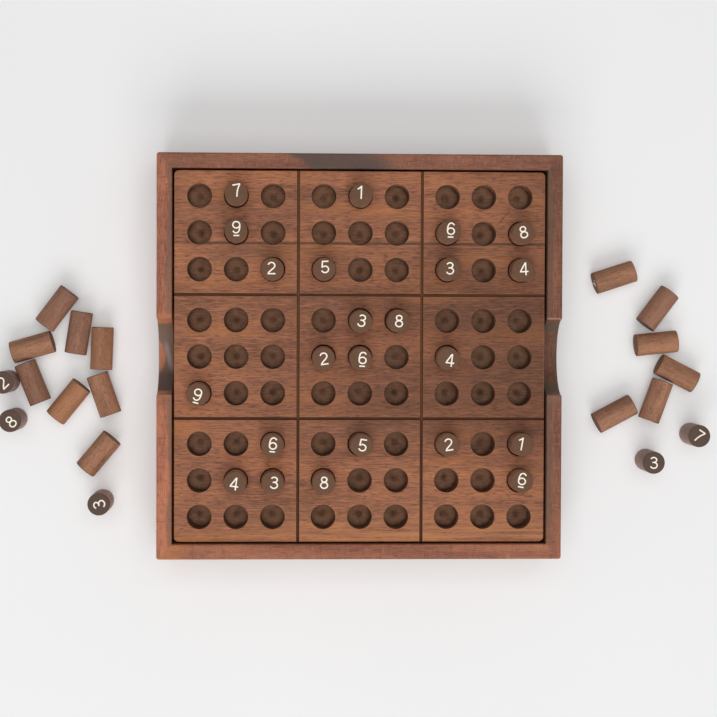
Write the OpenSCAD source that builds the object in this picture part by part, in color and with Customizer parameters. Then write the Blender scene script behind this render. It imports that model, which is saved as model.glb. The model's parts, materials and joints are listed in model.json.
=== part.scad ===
// Sudoku board: a mitred hardwood box, a lift-out play board with sockets for round number
// pegs, and a storage tray under the play board.

/* [Pegs] */
// Diameter of a peg
peg_d = 12; // [9:0.5:15]
// Length of a peg
peg_len = 23; // [20:0.5:32]
// Chamfer round both ends of a peg
peg_chamfer = 0.5; // [0.2:0.1:1]

/* [Sockets] */
// Radial play of a peg in its socket
socket_clear = 0.4; // [0.3:0.05:0.8]
// Distance between sockets inside a block of nine
socket_pitch = 19.2; // [17:0.1:24]
// Distance between sockets on either side of a groove
group_step = 26.6; // [22:0.1:34]
// Diameter of the pit that the point of the bit leaves
pit_d = 3; // [1:0.25:5]
// Depth of that pit
pit_depth = 1.5; // [0.5:0.25:2.5]

/* [Play board] */
// Thickness of the drilled plate, which is the depth of its sockets
plate_t = 14; // [12:0.5:18]
// Thickness of the backing that closes the sockets from below
backing_t = 4; // [3:0.5:8]
// Radius of the upright corners
board_corner_r = 2.5; // [1:0.25:5]
// Chamfer along the top edges
board_chamfer = 0.7; // [0.3:0.1:1.5]
// Width of the grooves between the blocks
groove_w = 1.3; // [0.8:0.1:2.5]
// Depth of the grooves
groove_depth = 1.5; // [0.5:0.1:3]
// Play between the play board and the rails
board_clear = 1; // [0.5:0.1:2]

/* [Box] */
// Thickness of the rails
rail_t = 8; // [6:0.5:12]
// Depth of the storage tray under the play board
tray_depth = 16; // [16:0.5:30]
// How far the play board lies below the rim
rim_lip = 2; // [0.5:0.25:6]
// Chamfer along the rim and the foot of the rails
rail_chamfer = 0.7; // [0.3:0.1:1.5]
// Radius of the upright corners of the box
box_corner_r = 1.3; // [0.5:0.1:4]
// Radius of the finger scoops in the side rails
scoop_r = 20; // [14:0.5:22]
// Height of the middle of a scoop's circle above the rim
scoop_rise = 1.5; // [0:0.25:4]
// Chamfer round the edges of a scoop
scoop_chamfer = 0.6; // [0.2:0.1:1]
// Thickness of the bottom panel
panel_t = 4; // [3:0.5:6]
// Depth of the rabbet that the panel is glued into
rabbet_depth = 4; // [2:0.5:5]
// Play of the panel in its rabbet
panel_clear = 0.3; // [0.1:0.05:0.6]
// Width of the ledge strips that carry the play board
ledge_w = 6; // [4:0.5:10]

/* [Storage] */
// Number of pegs kept in the tray
stored_count = 39; // [0:1:58]
// Room between stored pegs
stored_gap = 2; // [1.6:0.1:4]
// Largest turn of a stored peg out of its row
stored_turn = 3.5; // [0:0.5:3.5]
// Gap under a stored peg
stored_lift = 0.1; // [0.05:0.05:0.3]

/* [Hidden] */
$fn = 64;
nine = [0 : 8];
per_block = 3;

// Heights, from the table up
board_z = panel_t + tray_depth;
socket_z = board_z + backing_t;
board_top = socket_z + plate_t;
box_h = board_top + rim_lip;

// Plan sizes, from the sockets out to the rails
socket_d = peg_d + 2 * socket_clear;
block_w = (per_block - 1) * socket_pitch + group_step;
board_w = per_block * block_w;
opening_w = board_w + 2 * board_clear;
box_w = opening_w + 2 * rail_t;
tray_w = opening_w - 2 * ledge_w;
panel_w = opening_w + 2 * (rabbet_depth - panel_clear);

// Rows and columns of the stored pegs, which lie along X against the left ledge
stored_row = peg_d + stored_gap;
stored_column = peg_len + stored_gap;
stored_rows = floor(tray_w / stored_row);
stored_seed = 137;

// How far a cutter runs past the face that it cuts
past = 1;

// The puzzle as it is set out, from the back row down, with a dot for an empty socket
puzzle = [
    ".7..1....",
    ".9....6.8",
    "..25..3.4",
    "....38...",
    "...26.4..",
    "9........",
    "..6.5.2.1",
    ".438....6",
    ".........",
];
placed = [for (row = nine, column = nine) if (puzzle[row][column] != ".") [row, column]];

// Loose pegs beside the box: side, then how far out from it and along it, counted in peg
// widths, and the turn of a lying peg's axis from X. Longer pegs spread out as wider ones do
scatter = max(peg_d, peg_len * 12 / 23);
lying = [
    [-1, 4.66, 2.09, 53], [-1, 3.69, 1.00, 81], [-1, 5.76, 0.35, 16], [-1, 2.65, 0.30, 88],
    [-1, 5.75, -1.25, 112], [-1, 4.15, -2.10, 51], [-1, 2.56, -1.78, 109], [-1, 2.80, -4.45, 50],
    [1, 2.80, 3.60, 18], [1, 4.80, 2.19, 53], [1, 4.75, 0.60, 6], [1, 5.72, -0.77, 153],
    [1, 4.75, -2.02, 70], [1, 2.86, -2.62, 28],
];
standing = [
    [-1, 6.88, -1.20], [-1, 6.55, -2.90], [-1, 2.65, -6.60],
    [1, 4.40, -4.75], [1, 6.45, -3.55],
];

// Colours of the woods
rail_wood = "#97604a";
board_wood = "#9a684c";
ledge_wood = "#a87a58";
panel_wood = "#b98f68";
peg_wood = "#8c5f47";

function placed_name(cell) = str("peg_r", cell[0] + 1, "c", cell[1] + 1);
function lying_name(i) = str("lying_peg_", i + 1);
function standing_name(i) = str("standing_peg_", i + 1);

// Place of the i-th row or column of sockets, from 0 to 8, measured from the middle
function socket_at(i) =
    (floor(i / per_block) - 1) * block_w + (i % per_block - 1) * socket_pitch;

// Place of a loose peg in plan
function loose_at(peg) = [peg[0] * (box_w / 2 + peg[1] * scatter), peg[2] * scatter];

module rounded_square(w, r) {
    square([w, w - 2 * r], center = true);
    square([w - 2 * r, w], center = true);
    for (x = [-1, 1], y = [-1, 1]) translate([x, y] * (w / 2 - r)) circle(r);
}

// A 45 degree cutter that chamfers an edge which runs along X
module chamfer_edge(length, chamfer) {
    rotate([45, 0, 0]) cube([length, chamfer * sqrt(2), chamfer * sqrt(2)], center = true);
}

// Trapezium of a mitred rail in plan, with the outer corners of the box rounded
module rail_plan() {
    intersection() {
        rounded_square(box_w, box_corner_r);
        polygon([
            [-box_w / 2, -box_w / 2], [box_w / 2, -box_w / 2],
            [opening_w / 2, -opening_w / 2], [-opening_w / 2, -opening_w / 2],
        ]);
    }
}

// Half-round finger scoop through a rail, with chamfered edges
module scoop_cut() {
    translate([0, -box_w / 2, box_h + scoop_rise]) rotate([-90, 0, 0]) {
        translate([0, 0, -past]) cylinder(r = scoop_r, h = rail_t + 2 * past);
        translate([0, 0, -past]) cylinder(
            r1 = scoop_r + scoop_chamfer + past, r2 = scoop_r, h = scoop_chamfer + past);
        translate([0, 0, rail_t - scoop_chamfer]) cylinder(
            r1 = scoop_r, r2 = scoop_r + scoop_chamfer + past, h = scoop_chamfer + past);
    }
}

// One rail as it stands at the front: mitred, rabbeted for the panel and eased along its edges
module rail(scooped = false) {
    color(rail_wood) difference() {
        linear_extrude(box_h) rail_plan();
        translate([-box_w / 2, -opening_w / 2 - rabbet_depth, -past])
            cube([box_w, rabbet_depth + past, panel_t + past]);
        for (edge = [[-box_w / 2, box_h], [-opening_w / 2, box_h], [-box_w / 2, 0]])
            translate([0, edge[0], edge[1]]) chamfer_edge(box_w + 2 * past, rail_chamfer);
        if (scooped) scoop_cut();
    }
}

module rail_front() { rail(); }
module rail_right() { rotate(90) rail(scooped = true); }
module rail_back() { rotate(180) rail(); }
module rail_left() { rotate(-90) rail(scooped = true); }

module bottom_panel() {
    color(panel_wood) translate([0, 0, panel_t / 2]) cube([panel_w, panel_w, panel_t], center = true);
}

// A ledge strip glued along the foot of the front rail
module ledge(length) {
    color(ledge_wood) translate([-length / 2, -opening_w / 2, panel_t])
        cube([length, ledge_w, tray_depth]);
}

module ledge_front() { ledge(opening_w); }
module ledge_right() { rotate(90) ledge(tray_w); }
module ledge_back() { rotate(180) ledge(opening_w); }
module ledge_left() { rotate(-90) ledge(tray_w); }

// Outline of the play board, as a slab of a given thickness from a given height up
module board_slab(from, thick) {
    translate([0, 0, from]) linear_extrude(thick) rounded_square(board_w, board_corner_r);
}

// Puts its children at each socket, from a given height up
module at_sockets(from) {
    for (row = nine, column = nine) translate([socket_at(column), socket_at(row), from]) children();
}

// Drilled plate, with saw grooves between its blocks of nine sockets
module play_board() {
    color(board_wood) difference() {
        board_slab(socket_z, plate_t);
        for (turn = [0 : 90 : 270]) rotate(turn)
            translate([0, -board_w / 2, board_top]) chamfer_edge(board_w, board_chamfer);
        for (side = [-1, 1], turn = [0, 90]) rotate(turn)
            translate([-board_w / 2 - past, side * block_w / 2 - groove_w / 2, board_top - groove_depth])
                cube([board_w + 2 * past, groove_w, groove_depth + past]);
        at_sockets(socket_z - past) cylinder(d = socket_d, h = plate_t + 2 * past);
    }
}

// Backing glued under the plate, with the pit that the point of the bit leaves in each socket
module board_backing() {
    color(board_wood) difference() {
        board_slab(board_z, backing_t);
        at_sockets(socket_z - pit_depth)
            cylinder(d1 = 0, d2 = pit_d * (1 + past / pit_depth), h = pit_depth + past);
    }
}

// A peg standing on the origin, turned from a dowel and chamfered at both ends
module peg() {
    color(peg_wood) rotate_extrude() polygon([
        [0, 0], [peg_d / 2 - peg_chamfer, 0], [peg_d / 2, peg_chamfer],
        [peg_d / 2, peg_len - peg_chamfer], [peg_d / 2 - peg_chamfer, peg_len], [0, peg_len],
    ]);
}

// A peg lying along X with its middle over the origin
module flat_peg() {
    translate([-peg_len / 2, 0, peg_d / 2]) rotate([0, 90, 0]) peg();
}

module placed_peg(cell) {
    translate([socket_at(cell[1]), -socket_at(cell[0]), socket_z]) peg();
}

module lying_peg(place) {
    translate(loose_at(place)) rotate(place[3]) flat_peg();
}

module standing_peg(place) {
    translate(loose_at(place)) peg();
}

module stored_pegs() {
    for (i = [0 : 1 : stored_count - 1]) {
        across = floor(i / stored_rows);
        along = i % stored_rows;
        translate([
            (across + 0.5) * stored_column - tray_w / 2,
            (along - (stored_rows - 1) / 2) * stored_row,
            panel_t + stored_lift,
        ]) rotate(stored_turn * sin(i * stored_seed)) flat_peg();
    }
}

rail_back();
rail_front();
rail_left();
rail_right();
bottom_panel();
ledge_back();
ledge_front();
ledge_left();
ledge_right();
play_board();
board_backing();
stored_pegs();
for (cell = placed)
    placed_peg(cell);
for (i = [0 : len(lying) - 1])
    lying_peg(lying[i]);
for (i = [0 : len(standing) - 1])
    standing_peg(standing[i]);
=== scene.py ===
import json
import math

import bmesh
import bpy
from mathutils import Matrix, Vector

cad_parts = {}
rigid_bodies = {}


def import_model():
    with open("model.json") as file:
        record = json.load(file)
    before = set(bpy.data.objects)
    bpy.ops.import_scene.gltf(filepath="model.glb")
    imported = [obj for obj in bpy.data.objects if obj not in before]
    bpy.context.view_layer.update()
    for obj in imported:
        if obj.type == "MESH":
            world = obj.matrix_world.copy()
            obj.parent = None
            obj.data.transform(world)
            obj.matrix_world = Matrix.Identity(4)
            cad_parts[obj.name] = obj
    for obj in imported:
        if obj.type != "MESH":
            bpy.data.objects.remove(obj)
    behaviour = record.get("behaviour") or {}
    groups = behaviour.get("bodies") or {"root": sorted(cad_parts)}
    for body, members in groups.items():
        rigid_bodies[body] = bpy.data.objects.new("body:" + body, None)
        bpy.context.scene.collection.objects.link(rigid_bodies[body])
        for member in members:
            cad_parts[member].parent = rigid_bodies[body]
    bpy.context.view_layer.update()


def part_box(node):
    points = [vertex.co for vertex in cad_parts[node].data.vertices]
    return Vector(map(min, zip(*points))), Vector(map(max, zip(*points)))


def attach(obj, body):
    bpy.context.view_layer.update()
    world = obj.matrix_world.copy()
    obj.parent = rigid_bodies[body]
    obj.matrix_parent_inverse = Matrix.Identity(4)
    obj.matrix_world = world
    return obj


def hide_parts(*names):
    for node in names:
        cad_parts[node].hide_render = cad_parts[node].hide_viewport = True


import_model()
scene = bpy.context.scene
mm = 0.001
weld = 1e-7  # points nearer than this are one


class Wire:  # a node's output that takes Python's operators
    def __init__(self, tree, socket=None):
        self.tree, self.socket = tree, socket

    def feed(self, target, value):
        for one in value if isinstance(value, list) else [value]:
            if isinstance(one, Wire):
                self.tree.links.new(one.socket, target)
            else:
                target.default_value = one

    def node(self, kind, settings=None, sockets=None, out=0):
        made = self.tree.nodes.new(kind)
        for name, value in (settings or {}).items():
            if name == "stops":
                ramp = made.color_ramp.elements
                while len(ramp) < len(value):
                    ramp.new(0.5)
                for stop, (place, colour) in zip(ramp, value):
                    stop.position, stop.color = place, colour
            else:
                setattr(made, name, value)
        for name, value in (sockets or {}).items():
            self.feed(made.inputs[name], value)
        return Wire(self.tree, made.outputs[out] if made.outputs else None)

    def other(self, out):  # another output of the same node
        return Wire(self.tree, self.socket.node.outputs[out])

    def maths(self, operation, *values):
        return self.node("ShaderNodeMath", {"operation": operation}, dict(enumerate(values)))

    def __add__(self, value):
        return self.maths("ADD", self, value)

    def __sub__(self, value):
        return self.maths("SUBTRACT", self, value)

    def __mul__(self, value):
        return self.maths("MULTIPLY", self, value)

    def __rsub__(self, value):
        return self.maths("SUBTRACT", value, self)

    def __abs__(self):
        return self.maths("ABSOLUTE", self)

    __radd__ = __add__

    def larger(self, value):
        return self.maths("MAXIMUM", self, value)

    def wrap(self, half):  # repeats from -half to half
        return self.maths("WRAP", self, half, -half)

    def root(self):
        return self.maths("SQRT", self)

    def step(self, low, high):  # 0 below low, 1 above high, smooth between
        return self.node("ShaderNodeMapRange", {"interpolation_type": "SMOOTHSTEP"},
                         {"Value": self, "From Min": low, "From Max": high})

    def near(self, middle, reach, soft):  # 1 within reach of middle, fading over soft
        return 1 - abs(self - middle).step(reach, reach + soft)

    def mix(self, below, above, blend="MIX"):  # this value is the share of above; 6, 7 and 2 are the colour sockets
        return self.node("ShaderNodeMix", {"data_type": "RGBA", "blend_type": blend},
                         {0: self, 6: below, 7: above}, out=2)


def tint(*rgb):  # screen colour, 0 to 255, as a shader colour
    return tuple(((c / 255 + 0.055) / 1.055) ** 2.4 for c in rgb) + (1.0,)


def threeTones(*tones):  # a ramp from a dark to a pale tone
    return [(place, tint(*tone)) for place, tone in zip((0.15, 0.5, 0.85), tones)]


def blankMaterial(name):
    made = bpy.data.materials.new(name)
    made.use_nodes = True
    made.node_tree.nodes.clear()
    return made, Wire(made.node_tree)


def noise(wires, scale, detail=3.0, roughness=0.5):
    spot = wires.node("ShaderNodeTexCoord", out="Object")
    return wires.node("ShaderNodeTexNoise", None,
                      {"Vector": spot, "Scale": scale, "Detail": detail, "Roughness": roughness})


def seenRays(wires):  # 1 for what the camera sees, also by way of gloss or glass
    rays = wires.node("ShaderNodeLightPath", out="Is Camera Ray")
    return rays + rays.other("Is Glossy Ray") + rays.other("Is Transmission Ray")


def stained(colour, mask, mark, fibre=None):  # a mark's colour, stronger on the fibres if they are given
    depth = mark["depth"] if fibre is None else mark["depth"] + fibre * mark["fibres"]
    return (mask * depth).mix(colour, mark["colour"])


# Wood: broad tone, growth bands, fibres and short dark pores, all stretched along the grain.
# touch(wires, x, y, z, colour, fibre) adds what only one piece has.
wood = {
    "lotAway": {0: 3.1, 1: 1.7, 2: 2.3}, "jumpAway": {0: 0.37, 2: 0.21}, "jumpSoft": 0.05,
    "toneRange": (0.34, 0.66), "bandRange": (0.32, 0.68), "fibreRange": (0.28, 0.72),
    "belowShare": 0.3, "aboveSoft": 1.0, "fibreHeight": 0.6, "bandHeight": 0.2, "bumpReach": 0.0003, "roughMore": 0.1,
}


def woodMaterial(name, look, touch=None):
    made, wires = blankMaterial(name)

    def carriedOff(place, share, away):
        move = wires.node("ShaderNodeCombineXYZ", None, {axis: share * far for axis, far in away.items()})
        return wires.node("ShaderNodeVectorMath", {"operation": "ADD"}, {0: place, 1: move})

    if look.get("lots"):  # pegs carry their own grain and lot, so that each is cut from another place
        place = wires.node("ShaderNodeAttribute", {"attribute_name": "grain"}, out="Vector")
        lot = wires.node("ShaderNodeAttribute", {"attribute_name": "lot"}, out="Fac")
        field = carriedOff(place, lot, wood["lotAway"])
    else:
        place = wires.node("ShaderNodeTexCoord", out="Object")
        field = place
    parts = wires.node("ShaderNodeSeparateXYZ", None, {0: place})
    x, y, z = (parts.other(axis) * (1 / mm) for axis in "XYZ")
    if look.get("planks"):  # boards glued edge to edge: the grain jumps at each joint
        jump = sum((y.step(edge, edge + wood["jumpSoft"]) for edge in look["planks"]), 0.0)
        field = carriedOff(place, jump, wood["jumpAway"])

    def grain(lengthwise, across, detail, roughness=0.55, drift=0.0):
        scale = [across] * 3
        scale[look["along"]] = lengthwise
        spot = wires.node("ShaderNodeVectorMath", {"operation": "MULTIPLY_ADD"},
                          {0: field, 1: tuple(scale), 2: (look["seed"] + drift,) * 3})
        return wires.node("ShaderNodeTexNoise", None,
                          {"Vector": spot, "Scale": 1.0, "Detail": detail, "Roughness": roughness})

    tone = grain(*look["tone"], detail=2.0).step(*wood["toneRange"])
    band = grain(*look["band"], detail=3.0, roughness=0.6, drift=3.0).step(*wood["bandRange"])
    fibre = grain(*look["fibre"], detail=2.0, roughness=0.6, drift=7.0).step(*wood["fibreRange"])
    pore = grain(*look["pore"], detail=1.0, roughness=0.5, drift=11.0).step(*look["poreRange"])
    grade = tone * look["mix"][0] + band * look["mix"][1] + fibre * look["mix"][2]
    colour = wires.node("ShaderNodeValToRGB", {"stops": look["stops"]}, {0: grade})
    colour = (pore * look["poreDepth"]).mix(colour, look["poreColour"])
    for drift, extra in enumerate(look["extras"], 17):  # flecks across the grain, and patches; the board's orange ones are painted sheen, glints in the figure
        patch = grain(*extra["size"], detail=2.0, roughness=0.5, drift=drift).step(*extra["range"]) * extra["depth"]
        if "above" in extra:  # fainter on the sides than on top
            upper = z.step(extra["above"], extra["above"] + wood["aboveSoft"])
            patch = patch * (wood["belowShare"] + upper * (1 - wood["belowShare"]))
        colour = patch.mix(colour, extra["colour"])
    if touch:
        colour = touch(wires, x, y, z, colour, fibre)
    height = fibre * wood["fibreHeight"] + band * wood["bandHeight"] - pore
    normal = wires.node("ShaderNodeBump", None,
                        {"Strength": look["bump"], "Distance": wood["bumpReach"], "Height": height})
    rough = look["rough"] + (1 - fibre) * wood["roughMore"] + pore * wood["roughMore"]
    shader = wires.node("ShaderNodeBsdfPrincipled", None,
                        {"Base Color": colour, "Roughness": rough, "Normal": normal,
                         "Specular IOR Level": look["shine"]})
    wires.node("ShaderNodeOutputMaterial", None, {"Surface": shader})
    return made


def linkNew(name, mesh):
    made = bpy.data.objects.new(name, mesh)
    scene.collection.objects.link(made)
    return made


def meshFrom(name, points, faces, edges=()):
    mesh = bpy.data.meshes.new(name)
    mesh.from_pydata([[c * mm for c in p] for p in points], edges, faces)
    return mesh


def tidyMesh(mesh, turn=None):  # merged, faces outward, put in place
    work = bmesh.new()
    work.from_mesh(mesh)
    bmesh.ops.remove_doubles(work, verts=work.verts, dist=weld)
    bmesh.ops.dissolve_degenerate(work, edges=work.edges, dist=weld)
    bmesh.ops.recalc_face_normals(work, faces=work.faces)
    if turn is not None:
        work.transform(turn)
    work.to_mesh(mesh)
    work.free()
    return mesh


def softShade(mesh, angle=13):  # round walls smooth, flat faces flat
    mesh.shade_smooth()
    mesh.set_sharp_from_angle(angle=math.radians(angle))


def lofted(name, points, n):  # a closed solid through rings of n points
    faces = [(s + i, s + (i + 1) % n, s + n + (i + 1) % n, s + n + i)
             for s in range(0, len(points) - n, n) for i in range(n)]
    faces += [tuple(range(n)), tuple(range(len(points) - n, len(points)))]
    return tidyMesh(meshFrom(name, points, faces))


def turned(name, profile, sides):  # a closed solid turned about Z from (radius, height) pairs, axis to axis
    points, faces, rings = [], [], []
    for radius, height in profile:
        if radius == 0:
            rings.append([len(points)])
            points.append((0, 0, height))
            continue
        rings.append(list(range(len(points), len(points) + sides)))
        for i in range(sides):
            a = 2 * math.pi * i / sides
            points.append((radius * math.cos(a), radius * math.sin(a), height))
    for low, high in zip(rings, rings[1:]):
        for i in range(sides):
            j = (i + 1) % sides
            loop = [low[i % len(low)], low[j % len(low)], high[j % len(high)], high[i % len(high)]]
            faces.append(list(dict.fromkeys(loop)))
    return tidyMesh(meshFrom(name, points, faces))


def arc(cx, cy, rx, ry, start, stop, steps=16):  # points from start to stop, degrees
    turns = [math.radians(start + (stop - start) * i / steps) for i in range(steps + 1)]
    return [(cx + rx * math.cos(a), cy + ry * math.sin(a)) for a in turns]


def roundOff(cx, cy, radius, start, stop, steps):
    return arc(cx, cy, radius, radius, start, stop, steps)


def quarter(steps):  # angles of a quarter turn
    return [math.radians(90 * i / steps) for i in range(steps + 1)]


def evaluated(holder):
    seen = holder.evaluated_get(bpy.context.evaluated_depsgraph_get())
    return bpy.data.meshes.new_from_object(seen)


def nodeTree(name, inputs):
    tree = bpy.data.node_groups.new(name, "GeometryNodeTree")
    tree.interface.new_socket("Geometry", in_out="INPUT", socket_type="NodeSocketGeometry")
    keys = {}
    for label, kind in inputs.items():
        keys[label] = tree.interface.new_socket(label, in_out="INPUT", socket_type="NodeSocket" + kind).identifier
    tree.interface.new_socket("Geometry", in_out="OUTPUT", socket_type="NodeSocketGeometry")
    return tree, keys, Wire(tree).node("NodeGroupInput")


def dressed(entry, thing, material):  # made real and given its material
    real = entry.node("GeometryNodeRealizeInstances", None, {"Geometry": thing})
    return entry.node("GeometryNodeSetMaterial", None, {"Geometry": real, "Material": entry.other(material)})


def grow(name, base, tree, keys, values):  # runs a tree on a mesh and keeps the plain result
    holder = linkNew(name, base)
    nodes = holder.modifiers.new("nodes", "NODES")
    nodes.node_group = tree
    for label, value in values.items():
        nodes[keys[label]] = value
    mesh = evaluated(holder)
    holder.modifiers.remove(nodes)
    holder.data = mesh
    mesh.name = name
    return holder


# Camera, above and a little behind and to the left, tipped towards the middle
view = {"place": (-0.038, 0.0199, 0.96), "lens": 88.16, "sensor": 36, "turn": (-1.296, -2.3075, 0.2)}
lens = bpy.data.cameras.new("camera")
lens.lens, lens.sensor_width = view["lens"], view["sensor"]
camera = linkNew("camera", lens)
camera.location = view["place"]
camera.rotation_euler = [math.radians(a) for a in view["turn"]]
scene.camera = camera

# Light: a wide soft lamp in front, a wider one overhead, and a dim even world
light = {
    "front": {"place": (0.0, -2.0, 1.75), "size": (2.3, 1.4), "power": 37.0},
    "above": {"place": (0.0, 0.18, 2.2), "size": (1.9, 1.9), "power": 21.6},
    "world": 0.28, "backdrop": 0.88,
}
for name in ("front", "above"):
    lamp = bpy.data.lights.new(name + "Lamp", "AREA")
    lamp.shape = "RECTANGLE"
    lamp.size, lamp.size_y = light[name]["size"]
    lamp.energy = light[name]["power"]
    stand = linkNew(name + "Lamp", lamp)
    stand.location = light[name]["place"]
    stand.rotation_euler = (-Vector(light[name]["place"])).to_track_quat("-Z", "Y").to_euler()
world = bpy.data.worlds.new("studio")
scene.world = world
world.use_nodes = True
world.node_tree.nodes.clear()
wires = Wire(world.node_tree)
glow = light["world"] + seenRays(wires) * (light["backdrop"] - light["world"])
sky = wires.node("ShaderNodeBackground", None, {"Color": (1, 1, 1, 1), "Strength": glow})
wires.node("ShaderNodeOutputWorld", None, {"Surface": sky})
scene.view_settings.view_transform = "Standard"

# Floor
floor = {"half": 1700, "drop": 0.1, "colour": tint(246, 246, 246), "other": tint(243, 243, 243), "lift": 0.15,
         "blot": 3.0, "blotRange": (0.3, 0.7), "rough": 0.9, "shine": 0.1}
half, down = floor["half"], -floor["drop"]
corners = [(-half, -half, down), (half, -half, down), (half, half, down), (-half, half, down)]
ground = linkNew("floor", meshFrom("floor", corners, [(0, 1, 2, 3)]))
paper, wires = blankMaterial("paper")
blot = noise(wires, floor["blot"], 2.0)
pale = blot.step(*floor["blotRange"]).mix(floor["colour"], floor["other"])
matt = wires.node("ShaderNodeBsdfPrincipled", None,
                  {"Base Color": pale, "Roughness": floor["rough"], "Specular IOR Level": floor["shine"]})
clear = wires.node("ShaderNodeEmission", None, {"Color": pale, "Strength": 1.0})
shader = wires.node("ShaderNodeMixShader", None,
                    {0: seenRays(wires) * floor["lift"], 1: matt, 2: clear})  # a paler sweep, shadows kept
wires.node("ShaderNodeOutputMaterial", None, {"Surface": shader})
ground.data.materials.append(paper)
print("camera, lamps and floor set")

# Rails: one profile run along the side, mitred at both ends and rounded at the outer corner
rail = {"outer": 106.5, "thick": 8.0, "tall": 40.0, "ease": 0.7, "easeSteps": 3, "corner": 1.3, "cornerSteps": 4,
        "rabbet": 4.0, "panel": 4.0, "scoopRadius": 20.0, "scoopRise": 1.5, "scoopEase": 0.7, "scoopSides": 128,
        "scoopShadeReach": (0.5, 0.4), "flare": 0.4, "lip": 0.02, "past": 1.0,
        "sides": {"front": 0, "right": 90, "back": 180, "left": -90}, "scooped": ("left", "right")}


def railMesh():
    e, t, h, n = rail["ease"], rail["thick"], rail["tall"], rail["easeSteps"]
    profile = roundOff(e, e, e, 270, 180, n) + roundOff(e, h - e, e, 180, 90, n) + roundOff(t - e, h - e, e, 90, 0, n)
    profile += [(t, rail["panel"]), (t - rail["rabbet"], rail["panel"]), (t - rail["rabbet"], 0)]
    centre, r, steps = rail["outer"] - rail["corner"], rail["corner"], rail["cornerSteps"]
    turns = [math.radians(45 + 45 * i / steps) for i in range(steps + 1)]
    points = []
    for way, a in [(-1, a) for a in turns] + [(1, a) for a in reversed(turns)]:
        for d, z in profile:
            if d < r:
                points.append((way * (centre + (r - d) * math.cos(a)), -centre - (r - d) * math.sin(a), z))
            else:
                points.append((way * (rail["outer"] - d), d - rail["outer"], z))
    return lofted("rail", points, len(profile))


def scoopCutter():  # a drum across the rail, flared at both faces so that the edge is eased
    e, r, t, lip, past = rail["scoopEase"], rail["scoopRadius"], rail["thick"], rail["lip"], rail["past"]
    wide = r + e + rail["flare"]
    low = [(r + e - e * math.sin(a), e - e * math.cos(a)) for a in quarter(6)]
    profile = [(0, -past), (wide, -past), (wide, -lip)] + low
    profile += [(radius, t - height) for radius, height in reversed(low)]
    profile += [(wide, t + lip), (wide, t + past), (0, t + past)]
    mesh = turned("scoopCutter", profile, rail["scoopSides"])
    mesh.transform(Matrix.Translation((0, -rail["outer"] * mm, (rail["tall"] + rail["scoopRise"]) * mm))
                   @ Matrix.Rotation(math.radians(-90), 4, "X"))
    return mesh


railLook = {
    "tone": (18, 60), "band": (9, 260), "fibre": (150, 1900), "pore": (240, 2400),
    "poreRange": (0.58, 0.72), "poreDepth": 0.5, "poreColour": tint(84, 53, 41), "mix": (0.40, 0.25, 0.35),
    "extras": [{"size": (1100, 190), "range": (0.54, 0.70), "depth": 0.36, "colour": tint(96, 60, 50), "above": 38.6},
               {"size": (800, 260), "range": (0.58, 0.72), "depth": 0.3, "colour": tint(190, 124, 94), "above": 38.6}],
    "bump": 0.25, "rough": 0.5, "shine": 0.15,
}
railTints = {  # each side's own grain place and warmth
    "front": {"seed": 4.0, "stops": threeTones((122, 74, 58), (152, 98, 76), (174, 114, 84))},
    "right": {"seed": 9.0, "stops": threeTones((104, 66, 53), (136, 90, 71), (158, 102, 78))},
    "back": {"seed": 14.0, "stops": threeTones((112, 72, 57), (138, 92, 73), (158, 104, 80))},
    "left": {"seed": 19.0, "stops": threeTones((134, 84, 66), (176, 112, 86), (200, 126, 92))},
}
backMarks = {
    "ragged": 90.0,
    "knot": {"at": 102, "slant": 1.6, "fall": 0.9, "ragged": 14, "start": (-36, -28), "stop": (2, 24),
             "rise": (4, 36), "riseRagged": 30, "depth": 0.75, "fibres": 0.25, "colour": tint(84, 72, 66)},
}
leftMarks = {
    "wave": 26.0,
    "inner": {"from": (-102.0, -99.8), "wave": 9, "depth": 0.5, "fibres": 0.3, "colour": tint(112, 90, 76)},
    "eased": {"band": (19.4, 2.4, 1.2), "rise": (30, 34), "depth": 0.6, "colour": tint(184, 120, 82)},
    "scoopShade": {"change": (-10, -3), "wave": 8, "front": tint(88, 77, 72), "behind": tint(114, 96, 82),
               "length": (-0.6, 17.2, 0.8), "depth": 0.9},
    "pale": {"band": (-100.2, 0.2, 2.0), "slant": 0.22, "wave": 5, "length": (0, 3, 7), "depth": 0.65,
             "colour": tint(168, 152, 156)},
    "ruddy": {"from": (3.4, 5.8), "middle": -0.5, "curve": 0.05, "wave": 4, "depth": 0.6, "fibres": 0.4,
              "colour": tint(190, 122, 92)},
}
rightMarks = {
    "wave": 22.0,
    "inner": {"to": (100.4, 102.2), "wave": 6, "front": (-104, -84), "depth": 0.5, "fibres": 0.3,
              "colour": tint(108, 86, 70)},
    "shade": {"back": (-60, 60), "depth": 0.65, "colour": (0.72, 0.74, 0.76, 1)},
    "lit": {"band": (20.4, 0.3, 0.4), "rise": (39, 40), "depth": 0.4, "colour": tint(196, 156, 134)},
    "eased": {"band": (-20.5, 2.2, 2.2), "rise": (39, 40), "depth": 0.5, "colour": tint(122, 96, 82)},
    "ends": {"from": (11.5, 15.5), "wave": 3, "outer": (103.4, 105.2), "outerDepth": 0.55, "colour": tint(92, 80, 68)},
    "scoopShade": {"length": (-0.4, 18.2, 0.8), "depth": 0.85},
}
frontMarks = {
    "wave": 30.0,
    "orange": {"to": (-99, -84), "wave": 16, "depth": 0.4, "fibres": 0.2, "colour": tint(188, 122, 76)},
}


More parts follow.
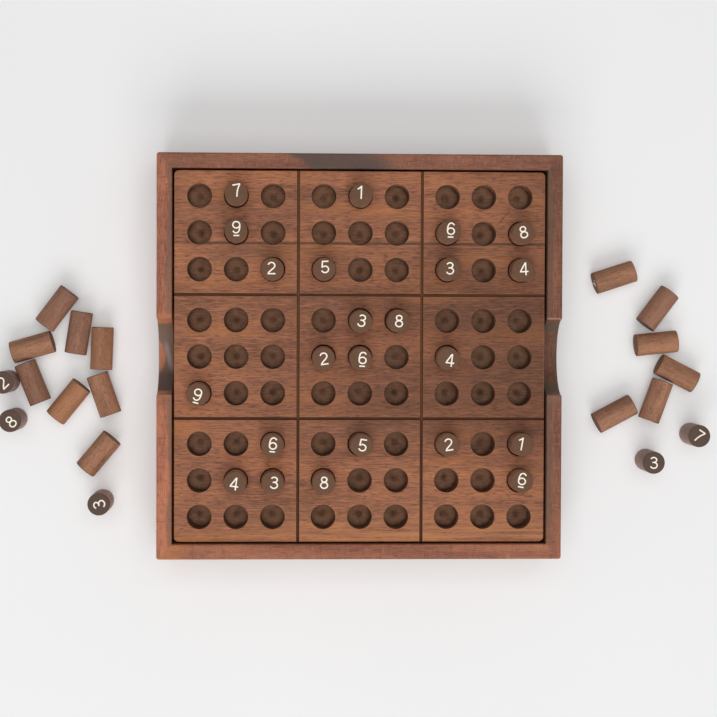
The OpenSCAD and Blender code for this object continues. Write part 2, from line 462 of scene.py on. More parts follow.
def backTouch(wires, x, y, z, colour, fibre):  # a dark knot streak near the middle
    knot = backMarks["knot"]
    ragged = noise(wires, backMarks["ragged"]) - 0.5
    slant = x + (y - knot["at"]) * knot["slant"] - (rail["tall"] - z) * knot["fall"] + ragged * knot["ragged"]
    streak = slant.step(*knot["start"]) * (1 - slant.step(*knot["stop"]))
    return stained(colour, streak * (z + ragged * knot["riseRagged"]).step(*knot["rise"]), knot, fibre)


def scoopMask(y, z, scoopShade):  # how much of the scoop's painted colour shows, partly painted shade of its steep ends
    up = z - (rail["tall"] + rail["scoopRise"])
    ring = (y * y + up * up).root().near(rail["scoopRadius"], *rail["scoopShadeReach"])
    return ring * y.near(*scoopShade["length"]) * scoopShade["depth"]


def leftTouch(wires, x, y, z, colour, fibre):  # a greyish olive inner streak, and a scoop with painted shade and a ruddy middle
    inner, eased, scoopShade, pale, ruddy = (leftMarks[n] for n in ("inner", "eased", "scoopShade", "pale", "ruddy"))
    wave = noise(wires, leftMarks["wave"]) - 0.5
    colour = stained(colour, (x + wave * inner["wave"]).step(*inner["from"]), inner, fibre)
    # painted light: a paler band on the scoop's back end wall, which faces the light
    colour = stained(colour, y.near(*eased["band"]) * z.step(*eased["rise"]), eased)
    # painted shade: the scoop's front half, turned from the light, darker than its back half
    deep = (y + wave * scoopShade["wave"]).step(*scoopShade["change"]).mix(scoopShade["front"], scoopShade["behind"])
    band = (x + y * pale["slant"] + wave * pale["wave"]).near(*pale["band"])
    deep = stained(deep, band * y.near(*pale["length"]), pale)
    bow = (y - ruddy["middle"]) * (y - ruddy["middle"]) * ruddy["curve"]
    deep = stained(deep, 1 - (x + rail["outer"] + bow + wave * ruddy["wave"]).step(*ruddy["from"]), ruddy, fibre)
    return scoopMask(y, z, scoopShade).mix(colour, deep)


def rightTouch(wires, x, y, z, colour, fibre):  # an olive inner strip, and a scoop with painted shade at both ends
    inner, shade, lit, eased, ends = (rightMarks[n] for n in ("inner", "shade", "lit", "eased", "ends"))
    wave = noise(wires, rightMarks["wave"]) - 0.5
    strip = (1 - (x + wave * inner["wave"]).step(*inner["to"])) * y.step(*inner["front"])
    colour = stained(colour, strip, inner, fibre)
    dim = y.step(*shade["back"]) * shade["depth"]  # darker towards the back
    colour = dim.mix(colour, shade["colour"], "MULTIPLY")
    for mark in (lit, eased):  # the scoop's two ends; lit is a painted highlight along the back edge
        colour = stained(colour, y.near(*mark["band"]) * z.step(*mark["rise"]), mark)
    # painted shade: the scoop's steep end walls dark, and darker towards the rail's outer face
    outer = (x + wave * ends["wave"]).step(*ends["outer"]) * ends["outerDepth"]
    deep = (abs(y) + wave * ends["wave"]).step(*ends["from"]).larger(outer).mix(colour, ends["colour"])
    return scoopMask(y, z, rightMarks["scoopShade"]).mix(colour, deep)


def frontTouch(wires, x, y, z, colour, fibre):  # the left end is more orange
    orange = frontMarks["orange"]
    wave = noise(wires, frontMarks["wave"]) - 0.5
    return stained(colour, 1 - (x + wave * orange["wave"]).step(*orange["to"]), orange, fibre)


def alongSide(side):  # the axis a side runs along
    return 0 if side in ("front", "back") else 1


railTouches = {"front": frontTouch, "back": backTouch, "left": leftTouch, "right": rightTouch}
for side, angle in rail["sides"].items():
    mesh = railMesh()
    if side in rail["scooped"]:
        body, cutter = linkNew("railBody", mesh), linkNew("scoopCutter", scoopCutter())
        cut = body.modifiers.new("scoop", "BOOLEAN")
        cut.operation, cut.solver, cut.object = "DIFFERENCE", "EXACT", cutter
        mesh = evaluated(body)
        bpy.data.objects.remove(body)
        bpy.data.objects.remove(cutter)
    tidyMesh(mesh, Matrix.Rotation(math.radians(angle), 4, "Z"))
    softShade(mesh)
    look = {**railLook, **railTints[side], "along": alongSide(side)}
    mesh.materials.clear()
    mesh.materials.append(woodMaterial(side + "RailWood", look, railTouches[side]))
    piece = linkNew(side + "Rail", mesh)
    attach(piece, "box")
    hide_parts("rail_" + side)
print("rails made")

# Ledges and bottom panel: sawn bars with eased arrises
bars = {
    "ease": 0.4, "easeSteps": 3, "ledgeSeed": 27.0,
    "ledgeLook": {**railLook, "stops": threeTones((104, 70, 54), (138, 94, 72), (164, 112, 84))},
    "panelLook": {**railLook, "along": 0, "seed": 33.0, "tone": (8, 22), "band": (3, 60), "mix": (0.35, 0.40, 0.25),
                  "stops": threeTones((132, 94, 68), (164, 122, 90), (186, 144, 108))},
}


def easedBar(name, node, look):
    low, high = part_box(node)
    work = bmesh.new()
    bmesh.ops.create_cube(work, size=1.0)
    for v in work.verts:
        v.co = Vector((low[i] if v.co[i] < 0 else high[i]) for i in range(3))
    bmesh.ops.bevel(work, geom=work.edges[:], offset=bars["ease"] * mm, segments=bars["easeSteps"], profile=0.5,
                    affect="EDGES")
    mesh = bpy.data.meshes.new(name)
    work.to_mesh(mesh)
    work.free()
    softShade(mesh)
    mesh.materials.append(woodMaterial(name + "Wood", look))
    piece = linkNew(name, mesh)
    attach(piece, "box")
    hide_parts(node)
    return piece


for number, side in enumerate(rail["sides"]):
    look = {**bars["ledgeLook"], "seed": bars["ledgeSeed"] + number, "along": alongSide(side)}
    easedBar(side + "Ledge", "ledge_" + side, look)
easedBar("bottomPanel", "bottom_panel", bars["panelLook"])
print("ledges and bottom panel made")

# Play board: a glued-up slab, drilled 81 times in nine blocks and grooved between the blocks
board = {"half": 97.5, "low": 20.0, "top": 38.0, "corner": 2.5, "cornerSteps": 6, "ease": 0.7, "under": 0.3,
         "pitch": 19.2, "block": 65.0, "socketRadius": 6.4, "socketFloor": 24.0, "mouth": 0.4, "fillet": (0.4, 0.12),
         "pitRadius": 1.9, "pitDepth": 1.0, "pitTip": (0.35, 0.1), "flare": 0.3, "lip": 0.02, "past": 1.0, "overrun": 5,
         "grooveWidth": 1.3, "grooveDepth": 1.5, "grooveFoot": 0.2, "grooveEase": (0.45, 0.13), "grooveFlare": 0.7,
         "sides": 56, "seam": 59.5}


def roundedRing(half, corner, z):
    return [(px, py, z) for sx, sy, start in ((1, 1, 0), (-1, 1, 90), (-1, -1, 180), (1, -1, 270))
            for px, py in roundOff(sx * (half - corner), sy * (half - corner), corner, start, start + 90,
                                   board["cornerSteps"])]


def slabMesh():
    under, ease = board["under"], board["ease"]
    insets = [(under * (1 - math.sin(a)), under * (1 - math.cos(a)) + board["low"]) for a in quarter(3)]
    insets += [(ease * (1 - math.cos(a)), board["top"] - ease * (1 - math.sin(a))) for a in quarter(4)]
    rings = [roundedRing(board["half"] - inset, board["corner"] - inset, z) for inset, z in insets]
    return lofted("slab", sum(rings, []), len(rings[0]))


def socketCutter():  # the drill: pit, flat floor, straight wall and an eased mouth
    r, m, low, top = board["socketRadius"], board["mouth"], board["socketFloor"], board["top"]
    pit, (tipRadius, tipRise), (fillet, bow) = low - board["pitDepth"], board["pitTip"], board["fillet"]
    wide, past = r + m + board["flare"], top + board["past"]
    profile = [(0, pit), (tipRadius, pit + tipRise), (board["pitRadius"], low)]
    profile += [(r - fillet, low), (r - bow, low + bow), (r, low + fillet)]
    profile += [(r + m - m * math.cos(a), top - m + m * math.sin(a)) for a in quarter(4)]
    return turned("drill", profile + [(wide, top + board["lip"]), (wide, past), (0, past)], board["sides"])


def grooveCutter(across):  # one saw, its corners eased at the top of the board
    w, foot, (ease, bow) = board["grooveWidth"] / 2, board["grooveFoot"], board["grooveEase"]
    top, bottom = board["top"], board["top"] - board["grooveDepth"]
    right = [(w - foot, bottom), (w, bottom + foot), (w, top - ease), (w + bow, top - bow), (w + ease, top),
             (w + board["grooveFlare"], top + board["past"])]
    left = [(-d, z) for d, z in reversed(right)]
    profile = left[-1:] + right + left[:-1]
    reach, points = board["half"] + board["overrun"], []
    for end in (-reach, reach):
        points += [(end, d, z) if across else (d, end, z) for d, z in profile]
    return lofted("saw", points, len(profile))


def boardTree():
    tree, keys, entry = nodeTree("boardTree", {"Drill": "Object", "Saw across": "Object", "Saw along": "Object",
                                               "Pitch": "Float", "Block": "Float", "Wood": "Material"})

    def tool(label):
        return entry.node("GeometryNodeObjectInfo", None, {"Object": entry.other(label)}, out="Geometry")

    def spread(thing, size, xs, ys):
        grid = entry.node("GeometryNodeMeshGrid", None,
                          {"Size X": size * (xs - 1), "Size Y": size * (ys - 1), "Vertices X": xs, "Vertices Y": ys})
        placed = entry.node("GeometryNodeInstanceOnPoints", None, {"Points": grid, "Instance": thing})
        return entry.node("GeometryNodeRealizeInstances", None, {"Geometry": placed})

    drills = spread(spread(tool("Drill"), entry.other("Pitch"), 3, 3), entry.other("Block"), 3, 3)
    across = spread(tool("Saw across"), entry.other("Block"), 1, 2)
    along = spread(tool("Saw along"), entry.other("Block"), 2, 1)
    cut = entry.node("GeometryNodeMeshBoolean", {"operation": "DIFFERENCE", "solver": "MANIFOLD"},
                     {"Mesh 1": entry, "Mesh 2": [drills, across, along]})
    entry.node("NodeGroupOutput", None, {"Geometry": dressed(entry, cut, "Wood")})
    return tree, keys


boardLook = {
    "along": 0, "seed": 51.0, "planks": [board["seam"]], "tone": (13, 55), "band": (7, 190), "fibre": (170, 2000),
    "pore": (260, 1500), "poreRange": (0.54, 0.68), "poreDepth": 0.6, "poreColour": tint(86, 54, 40),
    "mix": (0.36, 0.22, 0.42),
    "stops": [(0.12, tint(118, 76, 58)), (0.45, tint(160, 104, 78)), (0.7, tint(182, 117, 84)),
              (0.95, tint(208, 136, 90))],
    # the first patches are painted sheen: orange glints where the figure catches the light
    "extras": [{"size": (14, 110), "range": (0.54, 0.70), "depth": 0.55, "colour": tint(186, 120, 72)},
               {"size": (10, 60), "range": (0.56, 0.72), "depth": 0.38, "colour": tint(108, 78, 66)},
               {"size": (75, 1000), "range": (0.53, 0.68), "depth": 0.5, "colour": tint(98, 62, 48)},
               {"size": (90, 1100), "range": (0.54, 0.68), "depth": 0.5, "colour": tint(210, 136, 94)}],
    "bump": 0.3, "rough": 0.5, "shine": 0.15,
}
boardMarks = {
    "wave": 40.0, "streak": (0.02, 0.45), "mottle": (190.0, 4.0, 0.65), "edge": (97.0, 97.4),
    "glue": {"wave": 0.9, "reach": (0.45, 0.5), "broken": (0.2, 0.45), "depth": 0.85, "colour": tint(70, 55, 48)},
    "dusk": {"right": (-98, 100), "rows": (2, 34, 30), "corner": (30, 70), "cornerDepth": 0.35,
             "colour": (0.48, 0.47, 0.5, 1)},
    "bright": {"front": (-95, -78), "wave": 14, "right": (-115, 5), "least": 0.05, "more": (-90, 20), "moreDepth": 0.1,
               "streak": (0.42, 0.6), "streakDepth": 0.6, "colour": tint(204, 138, 92)},
    "inside": {"below": (37.2, 37.95), "depth": 0.5, "fibres": 0.45, "colour": tint(184, 140, 110)},
    "socketShadeAndMottle": {"middle": (0.2, 3.6), "middleDepth": 0.38, "wall": (4.6, 6.4), "wallDepth": 0.3, "frontDepth": 0.043,
              "mottle": (0.38, 0.66), "mottleDepth": 0.3, "least": 0.2, "colour": tint(80, 54, 41)},
    "rim": {"band": (37.1, 0.6, 0.5), "depth": 0.7, "colour": tint(62, 37, 24)},
    "mouth": {"band": (37.88, 0.08, 0.06), "depth": 0.2, "colour": tint(206, 152, 116)},
    "groove": {"reach": (0.8, 0.2), "below": (37.1, 37.85), "front": (-34, -31), "depth": 0.9,
               "colours": (tint(98, 58, 32), tint(78, 42, 24))},
    "crack": {"at": (71.7, 69.4), "across": (0.754, 0.657), "wave": 1.2, "line": (0, 0.12, 0.15),
              "length": (73.3, 3.6, 0.6), "depth": 0.7, "colour": tint(74, 50, 38)},
    "layer": {"line": (0.05, 0.15), "depth": 0.7, "colour": tint(70, 50, 40)},
}


def boardTouch(wires, x, y, z, colour, fibre):
    wave = noise(wires, boardMarks["wave"])
    sway = wave - 0.5
    drawn = wires.node("ShaderNodeCombineXYZ", None, {0: x * boardMarks["streak"][0], 1: y * boardMarks["streak"][1]})
    streak = wires.node("ShaderNodeTexNoise", None, {"Vector": drawn, "Scale": 1.0, "Detail": 3.0})
    edge = abs(x).larger(abs(y)).step(*boardMarks["edge"])
    half, pitch = board["block"] / 2, board["pitch"]

    glue = boardMarks["glue"]  # the joint of the two planks
    seam = (y + sway * glue["wave"]).near(board["seam"], *glue["reach"]) * wave.step(*glue["broken"])
    colour = stained(colour, seam, glue)
    dusk = boardMarks["dusk"]  # darker towards the right
    corner = x.step(*dusk["corner"]) * y.step(*dusk["corner"]) * dusk["cornerDepth"]
    colour = (x.step(*dusk["right"]) * y.near(*dusk["rows"]).larger(corner)).mix(colour, dusk["colour"], "MULTIPLY")
    bright = boardMarks["bright"]  # paler streaks along the front
    share = bright["least"] + x.step(*bright["more"]) * bright["moreDepth"]
    share = share + streak.step(*bright["streak"]) * bright["streakDepth"]
    front = (1 - (y + sway * bright["wave"]).step(*bright["front"])) * x.step(*bright["right"])
    colour = (front * share).mix(colour, bright["colour"])

    bare = boardMarks["inside"]  # sockets and grooves are bare cut wood
    inside = (1 - z.step(*bare["below"])) * (1 - edge)
    colour = stained(colour, inside, bare, fibre)
    across, deep = (axis.wrap(half).wrap(pitch / 2) for axis in (x, y))  # from the nearest socket's middle
    reach = (across * across + deep * deep).root()
    # painted shade in the sockets: a darker floor middle, darker by the wall and towards the front, over a base
    # darkening; the mottle spots are the wood's own
    socketShadeAndMottle = boardMarks["socketShadeAndMottle"]
    dark = (1 - reach.step(*socketShadeAndMottle["middle"])) * socketShadeAndMottle["middleDepth"] + reach.step(*socketShadeAndMottle["wall"]) * socketShadeAndMottle["wallDepth"]
    spots = noise(wires, *boardMarks["mottle"]).step(*socketShadeAndMottle["mottle"]) * socketShadeAndMottle["mottleDepth"]
    dark = dark - deep * socketShadeAndMottle["frontDepth"] + spots + socketShadeAndMottle["least"]
    colour = (dark * inside).mix(colour, socketShadeAndMottle["colour"])
    for mark in (boardMarks["rim"], boardMarks["mouth"]):  # painted shade just inside the mouth, and a painted highlight where the mouth is eased
        colour = stained(colour, z.near(*mark["band"]) * (1 - edge), mark)

    groove = boardMarks["groove"]  # the front one is darker
    sawn = abs(x).near(half, *groove["reach"]).larger(abs(y).near(half, *groove["reach"]))
    sawn = sawn * (1 - z.step(*groove["below"])) * groove["depth"]
    colour = sawn.mix(colour, (1 - y.step(*groove["front"])).mix(*groove["colours"]))
    crack = boardMarks["crack"]  # a fine slanting crack near the back right corner
    line = (x - crack["at"][0]) * crack["across"][0] - (y - crack["at"][1]) * crack["across"][1] + sway * crack["wave"]
    colour = stained(colour, line.near(*crack["line"]) * y.near(*crack["length"]), crack)
    layer = boardMarks["layer"]  # glue line of the backing
    return stained(colour, z.near(board["socketFloor"], *layer["line"]) * edge, layer)


drill, sawAcross, sawAlong = (linkNew(n, m) for n, m in (
    ("drill", socketCutter()), ("sawAcross", grooveCutter(True)), ("sawAlong", grooveCutter(False))))
tree, keys = boardTree()
playBoard = grow("playBoard", slabMesh(), tree, keys, {
    "Drill": drill, "Saw across": sawAcross, "Saw along": sawAlong, "Pitch": board["pitch"] * mm,
    "Block": board["block"] * mm, "Wood": woodMaterial("boardWood", boardLook, boardTouch)})
for tool in (drill, sawAcross, sawAlong):
    bpy.data.objects.remove(tool)
softShade(playBoard.data)
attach(playBoard, "board")
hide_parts("play_board", "board_backing")
print("play board made:", len(playBoard.data.polygons), "faces")

# Digits: drawn as strokes in a box one high, then widened to flat ribbons
digit = {"tall": 6.8, "wide": 7.3, "stroke": 0.72, "proud": 0.045, "middle": (0.325, 0.5),
         "underline": (0.12, 0.53, -0.135), "most": 9,
         "paint": {"scale": 900.0, "range": (0.35, 0.75), "depth": 0.4, "fresh": tint(255, 246, 230),
                   "colour": tint(236, 220, 200), "rough": 0.5, "wornRough": 0.2, "shine": 0.3}}


def bend(a, b, c, d, steps=12):
    return [tuple((1 - t) ** 3 * a[k] + 3 * t * (1 - t) ** 2 * b[k] + 3 * t * t * (1 - t) * c[k] + t ** 3 * d[k]
                  for k in (0, 1)) for t in (i / steps for i in range(steps + 1))]


def upsideDown(strokes):
    return [[(2 * digit["middle"][0] - px, 1 - py) for px, py in stroke] for stroke in strokes]


six = [arc(0.335, 0.315, 0.247, 0.243, 0, 360, 30),
       bend((0.565, 0.77), (0.53, 0.875), (0.45, 0.93), (0.35, 0.928))
       + bend((0.35, 0.928), (0.16, 0.925), (0.088, 0.72), (0.088, 0.34))[1:]]
strokes = {
    1: [[(0.375, 0.0), (0.375, 1.0)], bend((0.36, 0.96), (0.30, 0.86), (0.21, 0.79), (0.10, 0.745))],
    2: [arc(0.325, 0.695, 0.235, 0.233, 168, -28) + bend((0.532, 0.585), (0.46, 0.43), (0.16, 0.28), (0.085, 0.075))[1:],
        [(0.045, 0.072), (0.60, 0.072)]],
    3: [arc(0.315, 0.735, 0.215, 0.193, 160, -82), arc(0.315, 0.302, 0.25, 0.23, 82, -162),
        [(0.21, 0.535), (0.36, 0.535)]],
    4: [[(0.455, 0.0), (0.455, 0.985)], [(0.43, 0.955), (0.075, 0.325)], [(0.03, 0.285), (0.64, 0.285)]],
    5: [[(0.15, 0.928), (0.58, 0.928)], [(0.165, 0.985), (0.105, 0.47)], arc(0.318, 0.315, 0.252, 0.245, 146, -160, 22)],
    6: six,
    7: [[(0.055, 0.925), (0.60, 0.925)], bend((0.575, 0.90), (0.40, 0.68), (0.26, 0.34), (0.215, 0.0))],
    8: [arc(0.325, 0.742, 0.195, 0.186, 0, 360, 26), arc(0.325, 0.300, 0.245, 0.228, 0, 360, 30)],
    9: upsideDown(six),
}
left, right, low = digit["underline"]
for number in (6, 9):  # a dash below tells 6 from 9
    strokes[number] = strokes[number] + [[(left, low), (right, low)]]

peg = {"radius": 5.99, "long": 23.0, "ease": 0.5, "easeSteps": 4, "short": 0.06, "sides": 56}


def digitTree():
    tree, keys, entry = nodeTree("digitTree", {"Stroke": "Float", "Thick": "Float", "Paint": "Material"})
    path = entry.node("GeometryNodeMeshToCurve", None, {"Mesh": entry})
    flat = entry.node("GeometryNodeSetCurveNormal", {"mode": "Z_UP"}, {"Curve": path})
    band = entry.node("GeometryNodeCurvePrimitiveQuadrilateral", None,
                      {"Width": entry.other("Stroke"), "Height": entry.other("Thick")})
    ribbon = entry.node("GeometryNodeCurveToMesh", None, {"Curve": flat, "Profile Curve": band, "Fill Caps": True})
    whole = entry.node("GeometryNodeMeshBoolean", {"operation": "UNION", "solver": "EXACT"},
                       {"Mesh 2": [ribbon], "Self Intersection": True})
    entry.node("NodeGroupOutput", None, {"Geometry": dressed(entry, whole, "Paint")})
    return tree, keys


def paintMaterial():
    look = digit["paint"]
    made, wires = blankMaterial("digitPaint")
    worn = noise(wires, look["scale"]).step(*look["range"])
    shader = wires.node("ShaderNodeBsdfPrincipled", None,
                        {"Base Color": stained(look["fresh"], worn, look),
                         "Roughness": look["rough"] + worn * look["wornRough"], "Specular IOR Level": look["shine"]})
    wires.node("ShaderNodeOutputMaterial", None, {"Surface": shader})
    return made


paint = paintMaterial()
tree, keys = digitTree()
digits = bpy.data.collections.new("digits")
top = peg["long"] - peg["short"]
for number, lines in strokes.items():
    points, edges = [], []
    for line in lines:
        closed = math.dist(line[0], line[-1]) < weld
        kept = line[:-1] if closed else line
        first = len(points)
        points += [((px - digit["middle"][0]) * digit["wide"], (py - digit["middle"][1]) * digit["tall"], top)
                   for px, py in kept]
        edges += [(first + i, first + i + 1) for i in range(len(kept) - 1)]
        edges += [(first + len(kept) - 1, first)] if closed else []
    made = grow("digit%d" % number, meshFrom("digit%d" % number, points, [], edges), tree, keys,
                {"Stroke": digit["stroke"] * mm, "Thick": 2 * digit["proud"] * mm, "Paint": paint})
    scene.collection.objects.unlink(made)
    digits.objects.link(made)

# Pegs: one turned blank set on points that carry its turn, digit, lot and warmth
pegLook = {
    "along": 2, "seed": 71.0, "lots": True, "tone": (30, 90), "band": (20, 420), "fibre": (120, 1700),
    "pore": (260, 2600), "poreRange": (0.58, 0.72), "poreDepth": 0.5, "poreColour": tint(92, 62, 48),
    "mix": (0.40, 0.30, 0.30),
    "stops": [(0.12, tint(124, 90, 73)), (0.5, tint(152, 111, 89)), (0.9, tint(176, 127, 98))],
    "extras": [{"size": (700, 900), "range": (0.55, 0.70), "depth": 0.5, "colour": tint(186, 132, 96)},
               {"size": (500, 900), "range": (0.57, 0.72), "depth": 0.5, "colour": tint(94, 66, 54)}],
    "bump": 0.3, "rough": 0.55, "shine": 0.1,
}
pegMarks = {
    "warm": {"from": (0.5, 1.0), "depth": 0.5, "colour": tint(178, 122, 82)},
    "cool": {"to": (0.0, 0.5), "depth": 0.5, "colour": tint(132, 96, 84)},
    "paintedSideLight": {"to": (0.0, 0.05), "depth": 0.4, "fibres": 0.25, "colour": tint(178, 156, 149)},
    "ends": {"top": (0.65, 0.15), "foot": (0.1, 0.6), "depth": 0.9, "cool": tint(78, 63, 54), "warm": tint(118, 80, 57)},
    "rings": {"depth": 0.35, "greyLess": 0.25, "colour": tint(120, 87, 65)},
}


def pegTouch(wires, x, y, z, colour, fibre):
    ends, rings = pegMarks["ends"], pegMarks["rings"]
    warm = wires.node("ShaderNodeAttribute", {"attribute_name": "warm"}, out="Fac")
    colour = stained(colour, warm.step(*pegMarks["warm"]["from"]), pegMarks["warm"])
    colour = stained(colour, 1 - warm.step(*pegMarks["cool"]["to"]), pegMarks["cool"])
    paintedSideLight = 1 - warm.step(*pegMarks["paintedSideLight"]["to"])  # painted light: the standing pegs' sides, turned from the lamps, are painted greyer
    colour = stained(colour, paintedSideLight, pegMarks["paintedSideLight"], fibre)
    cut = warm.step(0.0, 1.0).mix(ends["cool"], ends["warm"])  # end grain takes the stain darker
    cut = (fibre * (rings["depth"] - paintedSideLight * rings["greyLess"])).mix(cut, rings["colour"])
    upper = z.step(*(peg["long"] - inset for inset in ends["top"]))
    return (upper.larger(1 - z.step(*ends["foot"])) * ends["depth"]).mix(colour, cut)


def blankMesh():
    r, e, n, long = peg["radius"], peg["ease"], peg["easeSteps"], peg["long"] - peg["short"]
    profile = [(0, 0)] + roundOff(r - e, e, e, 270, 360, n) + roundOff(r - e, long - e, e, 0, 90, n) + [(0, long)]
    return turned("pegBlank", profile, peg["sides"])


def pegTree():
    tree, keys, entry = nodeTree("pegTree", {"Blank": "Object", "Digits": "Collection", "Wood": "Material",
                                             "Paint": "Material"})

    def carried(name, kind):
        return entry.node("GeometryNodeInputNamedAttribute", {"data_type": kind}, {"Name": name})

    def stamped(thing):  # keeps where each point is on its own peg
        return entry.node("GeometryNodeStoreNamedAttribute", {"data_type": "FLOAT_VECTOR", "domain": "POINT"},
                          {"Geometry": thing, "Name": "grain", "Value": entry.node("GeometryNodeInputPosition")})

    def placed(settings, material):
        spots = entry.node("GeometryNodeInstanceOnPoints", None,
                           {"Points": entry, "Rotation": carried("turn", "FLOAT_VECTOR"),
                            "Scale": carried("size", "FLOAT_VECTOR"), **settings})
        if material == "Paint":  # prints are seldom centred
            move = {"Instances": spots, "Translation": carried("print", "FLOAT_VECTOR"), "Local Space": True}
            spots = entry.node("GeometryNodeTranslateInstances", None, move)
        return dressed(entry, spots, material)

    blank = entry.node("GeometryNodeObjectInfo", None, {"Object": entry.other("Blank")}, out="Geometry")
    choice = entry.node("GeometryNodeCollectionInfo", None,
                        {"Collection": entry.other("Digits"), "Separate Children": True, "Reset Children": True})
    body = placed({"Instance": stamped(blank)}, "Wood")
    marks = placed({"Instance": choice, "Pick Instance": True, "Instance Index": carried("digit", "INT")}, "Paint")
    whole = entry.node("GeometryNodeJoinGeometry", None, {"Geometry": [body, marks]})
    entry.node("NodeGroupOutput", None, {"Geometry": whole})
    return tree, keys


pegKit = {"Blank": linkNew("pegBlank", blankMesh()), "Digits": digits,
          "Wood": woodMaterial("pegWood", pegLook, pegTouch), "Paint": paint}
tree, keys = pegTree()


def onePeg(place, turn, mark, lot, warm, size=1.0, offset=(0, 0)):  # place and offset of the print in mm
    return {"place": place, "turn": turn, "digit": mark - 1, "lot": lot, "warm": warm,
            "size": (1, 1, size), "print": (offset[0] * mm, offset[1] * mm, 0)}


def makePegs(name, spots, node, body):
    mesh = bpy.data.meshes.new(name)
    mesh.from_pydata([[c * mm for c in s["place"]] for s in spots], [], [])
    for label in ("turn", "size", "print"):
        values = [c for s in spots for c in s[label]]
        mesh.attributes.new(label, "FLOAT_VECTOR", "POINT").data.foreach_set("vector", values)
    for label, kind in (("digit", "INT"), ("lot", "FLOAT"), ("warm", "FLOAT")):
        mesh.attributes.new(label, kind, "POINT").data.foreach_set("value", [s[label] for s in spots])
    piece = grow(name, mesh, tree, keys, pegKit)
    softShade(piece.data)
    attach(piece, body)
    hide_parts(node)


def lyingPeg(centre, turn, roll, mark, lot, warm):
    facing = (Matrix.Rotation(math.radians(turn), 3, "Z") @ Matrix.Rotation(math.radians(90), 3, "Y")
              @ Matrix.Rotation(math.radians(roll), 3, "Z")).to_euler()
    axis = Vector((math.cos(math.radians(turn)), math.sin(math.radians(turn)), 0))
    return onePeg(Vector(centre) - axis * peg["long"] / 2, facing, mark, lot, warm)


def lotOf(number):  # well spread from 0 to 1
    return (number * 0.618) % 1


# Placed pegs: row, column, digit, turn clockwise, lean of the top and offset of the print (right and back, mm)
placedPegs = [
    (1, 2, 7, -11, (0.1, 0.8), (0.6, 1.6)), (1, 5, 1, 2, (0, 0.1), (-0.3, 1.4)), (2, 2, 9, 0, (0, 0.6), (0.3, 1.7)),
    (2, 7, 6, 2, (0.1, 0.4), (0.9, 1.7)), (2, 9, 8, -14, (0.7, 0), (0, 0.5)), (3, 3, 2, 0, (-0.3, -0.2), (-0.4, 0.6)),
    (3, 4, 5, -2, (0.1, 0), (0.4, 1.1)), (3, 7, 3, -1, (0.5, 0.2), (0.2, 0.5)), (3, 9, 4, -3, (0.6, 0), (0.4, 0.6)),
    (4, 5, 3, 12, (0, -0.7), (0.6, 0.5)), (4, 6, 8, 1, (0.6, -0.3), (0.2, 0)), (5, 4, 2, -9, (-0.1, -0.8), (0.2, 0)),
    (5, 5, 6, 3, (0, -0.8), (1.0, 0.4)), (5, 7, 4, 6, (0, -0.8), (0.9, -0.6)), (6, 1, 9, 15, (-0.5, -0.3), (0.1, -0.2)),
    (7, 3, 6, 5, (0.1, -0.3), (0.2, 1.1)), (7, 5, 5, 8, (0.8, -0.1), (0.5, 0)), (7, 7, 2, -9, (0.2, 0.1), (0.2, 0.2)),
    (7, 9, 1, 10, (0.8, 0.2), (-0.6, 0.5)), (8, 2, 4, 8, (-0.3, -0.7), (-0.3, -0.3)),
    (8, 3, 3, 4, (0.2, -0.6), (0.8, 0.1)), (8, 4, 8, 1, (0.1, -0.7), (0.3, 0.2)), (8, 9, 6, 10, (0.7, 0.3), (0, 1.2))]
leaning = {"foot": 0.41, "rise": 0.36, "shrink": 0.03, "warm": 0.45}  # shares of the lean


def socketAt(number):  # 1 to 9 from the middle
    return ((number - 1) // 3 - 1) * board["block"] + ((number - 1) % 3 - 1) * board["pitch"]


def turnedPrint(offset, turn):  # an offset in the picture's directions, as the turned peg sees it
    return Vector(offset).to_3d() @ Matrix.Rotation(-math.radians(turn), 3, "Z")


# A leaning peg touches the wall of its socket low on one side and at the mouth on the other
for number, (row, column, mark, turn, lean, offset) in enumerate(placedPegs):
    node = "peg_r%dc%d" % (row, column)
    lean = Vector(lean).to_3d()
    rise = board["socketFloor"] + leaning["rise"] * lean.length
    foot = Vector((socketAt(column), -socketAt(row), rise)) - lean * leaning["foot"]
    upward = lean * (1 + leaning["foot"]) + Vector((0, 0, peg["long"]))
    tilt = Vector((0, 0, 1)).rotation_difference(upward).to_matrix()
    facing = (tilt @ Matrix.Rotation(-math.radians(turn), 3, "Z")).to_euler()
    spot = onePeg(foot, facing, mark, lotOf(number), leaning["warm"], 1 - leaning["shrink"] * lean.length,
                  turnedPrint(offset, turn))
    makePegs("pegRow%dColumn%d" % (row, column), [spot], node, node)

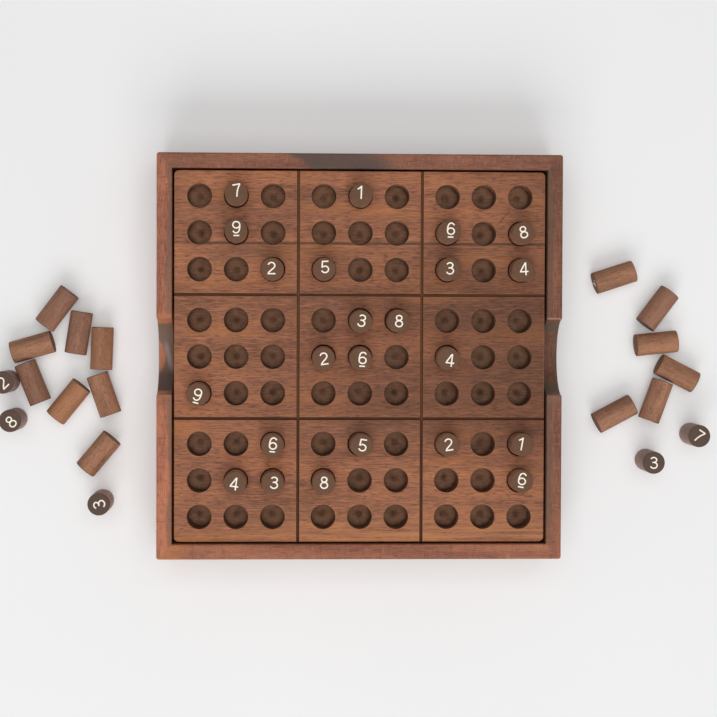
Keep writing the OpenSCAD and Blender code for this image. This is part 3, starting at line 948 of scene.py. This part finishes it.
# Loose pegs: side, out from the box and along it in peg widths, then for lying ones turn, digit, warmth and which end
# shows the digit, and for standing ones digit, turn clockwise and offset of the print
loose = {
    "width": 12.0, "roll": (40, 97), "lyingLots": 30, "standingLots": 50,
    "lying": [(-1, 4.66, 2.09, 53, 1, 0.15, 1), (-1, 3.69, 1.00, 81, 5, 0.25, 1), (-1, 5.76, 0.35, 16, 7, 0.6, -1),
              (-1, 2.65, 0.30, 88, 9, 0.75, 1), (-1, 5.75, -1.25, 112, 4, 0.2, 1), (-1, 4.15, -2.10, 51, 6, 0.85, -1),
              (-1, 2.56, -1.78, 109, 2, 0.6, 1), (-1, 2.80, -4.45, 50, 8, 0.55, -1), (1, 2.80, 3.60, 18, 7, 0.6, -1),
              (1, 4.80, 2.19, 53, 1, 0.1, 1), (1, 4.75, 0.60, 6, 5, 0.7, 1), (1, 5.72, -0.77, 153, 9, 0.7, -1),
              (1, 4.75, -2.02, 70, 3, 0.5, -1), (1, 2.86, -2.62, 28, 4, 0.4, 1)],
    "standing": [(-1, 6.88, -1.20, 2, -45, (0.0, -0.2)), (-1, 6.55, -2.90, 8, -45, (0.6, -0.5)),
                 (-1, 2.65, -6.60, 3, -105, (0.3, 0)), (1, 4.40, -4.75, 3, 0, (0, 0)), (1, 6.45, -3.55, 7, 34, (0, 0))],
}


def besideBox(side, out, along, height):
    return side * (rail["outer"] + out * loose["width"]), along * loose["width"], height


for number, (side, out, along, turn, mark, warm, end) in enumerate(loose["lying"]):
    node = "lying_peg_%d" % (number + 1)
    roll = loose["roll"][0] + loose["roll"][1] * number
    spot = lyingPeg(besideBox(side, out, along, peg["radius"]), turn if end > 0 else turn + 180, roll, mark,
                    lotOf(loose["lyingLots"] + number), warm)
    makePegs("lyingPeg%d" % (number + 1), [spot], node, node)
for number, (side, out, along, mark, turn, offset) in enumerate(loose["standing"]):
    node = "standing_peg_%d" % (number + 1)
    spot = onePeg(besideBox(side, out, along, 0), (0, 0, -math.radians(turn)), mark,
                  lotOf(loose["standingLots"] + number), 0.0, offset=turnedPrint(offset, turn))
    makePegs("standingPeg%d" % (number + 1), [spot], node, node)

# Stored pegs: three files of thirteen in the tray, with the digits that are left
store = {"count": 39, "files": 13, "stepX": 25.0, "stepY": 14.0, "firstX": -92.5, "height": 10.1, "turn": 3.5,
         "sway": 137, "roll": 71, "lots": 60, "warmth": (0.1, 0.9), "warmLots": (7, 3), "skip": 3}
stock = {n: digit["most"] for n in strokes}
for mark in [p[2] for p in placedPegs] + [p[4] for p in loose["lying"]] + [p[3] for p in loose["standing"]]:
    stock[mark] -= 1
spots, mark = [], 1
for i in range(store["count"]):
    while stock[mark] == 0:
        mark = mark % digit["most"] + 1
    stock[mark] -= 1
    turn = store["turn"] * math.sin(math.radians(store["sway"] * i)) + (180 if i % 3 == 1 else 0)
    centre = ((i // store["files"] + 0.5) * store["stepX"] + store["firstX"],
              (i % store["files"] - store["files"] // 2) * store["stepY"], store["height"])
    warm = store["warmth"][0] + store["warmth"][1] * lotOf(store["warmLots"][0] + store["warmLots"][1] * i)
    spots.append(lyingPeg(centre, turn, store["roll"] * i, mark, lotOf(store["lots"] + i), warm))
    mark = (mark + store["skip"]) % digit["most"] + 1
makePegs("storedPegs", spots, "stored_pegs", "stored_pegs")
bpy.data.objects.remove(pegKit["Blank"])
for made in list(digits.objects):
    bpy.data.objects.remove(made)
bpy.data.collections.remove(digits)
total = len(placedPegs) + len(loose["lying"]) + len(loose["standing"]) + store["count"]
print("pegs made:", total, "left over:", sum(stock.values()))
